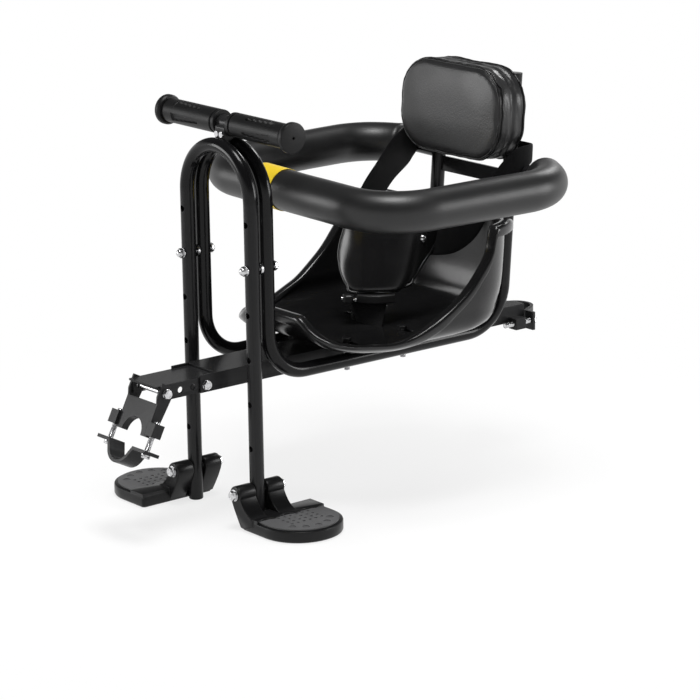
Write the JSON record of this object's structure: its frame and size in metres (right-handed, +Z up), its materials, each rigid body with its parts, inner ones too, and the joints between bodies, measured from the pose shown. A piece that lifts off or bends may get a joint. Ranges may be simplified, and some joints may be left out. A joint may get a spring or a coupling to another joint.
{
  "type": "front-mounted child bicycle seat",
  "caption": "Child seat for a bicycle's top tube: moulded bucket on a bent tube frame with foam guard ring, grab bar, padded backrest, harness, leg loop and folding footrests.",
  "frame": {"origin": "on the seat post's axis in the rear clamp, at the middle of the rail's height", "axes": "+X to the rider's left, +Y to the rear of the bicycle, +Z up along the seat post"},
  "size_m": [0.3506, 0.5542, 0.4275],
  "materials": {
    "black_tube": "gloss black paint",
    "black_sheet": "gloss black paint",
    "zinc": "bright zinc",
    "foam": "matte foam",
    "band": "plain yellow wrap",
    "grip_rubber": "matte",
    "black_plastic": "fine grain",
    "shell_plastic": "fine grain",
    "tread_rubber": "dimpled",
    "cover": "black leatherette",
    "webbing": "woven"
  },
  "bodies": {
    "seat_frame": {"frame_tube": "black_tube", "upright_plugs": "black_plastic", "rear_crossbar": "black_tube", "guard_tube": "black_tube", "guard_foam": "foam", "guard_band": "band", "leg_loop": "black_tube", "leg_plugs": "black_plastic", "leg_bolts": "zinc", "leg_nuts": "zinc", "leg_spacers": "zinc", "grab_bar": "black_tube", "left_grip": "grip_rubber", "right_grip": "grip_rubber", "bar_bracket": "black_plastic", "set_screws": "zinc", "outer_rail": "black_sheet", "rail_bolts": "zinc", "rail_nuts": "zinc", "rear_nut_blocks": "black_sheet", "seat_shell": "shell_plastic", "cross_plates": "black_sheet", "seat_bolts": "zinc", "seat_nuts": "zinc", "backrest_cushion": "cover", "cushion_screws": "zinc", "left_shoulder_strap": "webbing", "right_shoulder_strap": "webbing", "crotch_strap": "webbing", "harness_bib": "cover", "buckle": "black_plastic", "foot_bolts": "zinc", "foot_washers": "zinc", "foot_nuts": "zinc"},
    "front_rail": {"inner_rail": "black_sheet", "pivot_bolt": "zinc", "pivot_nut": "zinc"},
    "front_head": {"clamp_head": "black_sheet", "head_nut_blocks": "black_sheet"},
    "front_jaw": {"front_jaw": "black_sheet", "front_jaw_bolts": "zinc"},
    "rear_jaw": {"rear_jaw": "black_sheet", "rear_jaw_bolts": "zinc"},
    "left_footrest": {"left_footrest": "black_plastic", "left_tread": "tread_rubber"},
    "right_footrest": {"right_footrest": "black_plastic", "right_tread": "tread_rubber"}
  },
  "joints": [
    {"name": "rail_slide", "type": "slide", "parent": "seat_frame", "child": "front_rail", "axis": [0, 1, 0], "range_m": [-0.06, 0.03]},
    {"name": "head_tilt", "type": "hinge", "parent": "front_rail", "child": "front_head", "pos_m": [0, -0.4863, -0.0015], "axis": [1, 0, 0], "range_deg": [-23, 27]},
    {"name": "front_jaw_slide", "type": "slide", "parent": "front_head", "child": "front_jaw", "axis": [0, 0.454, 0.891], "range_m": [0, 0.012]},
    {"name": "rear_jaw_slide", "type": "slide", "parent": "seat_frame", "child": "rear_jaw", "axis": [0, 1, 0], "range_m": [0, 0.012]},
    {"name": "left_footrest_fold", "type": "hinge", "parent": "seat_frame", "child": "left_footrest", "pos_m": [0.053, -0.3975, -0.113], "axis": [0, -1, 0], "range_deg": [0, 90]},
    {"name": "right_footrest_fold", "type": "hinge", "parent": "seat_frame", "child": "right_footrest", "pos_m": [-0.053, -0.3975, -0.113], "axis": [0, 1, 0], "range_deg": [0, 90]}
  ]
}
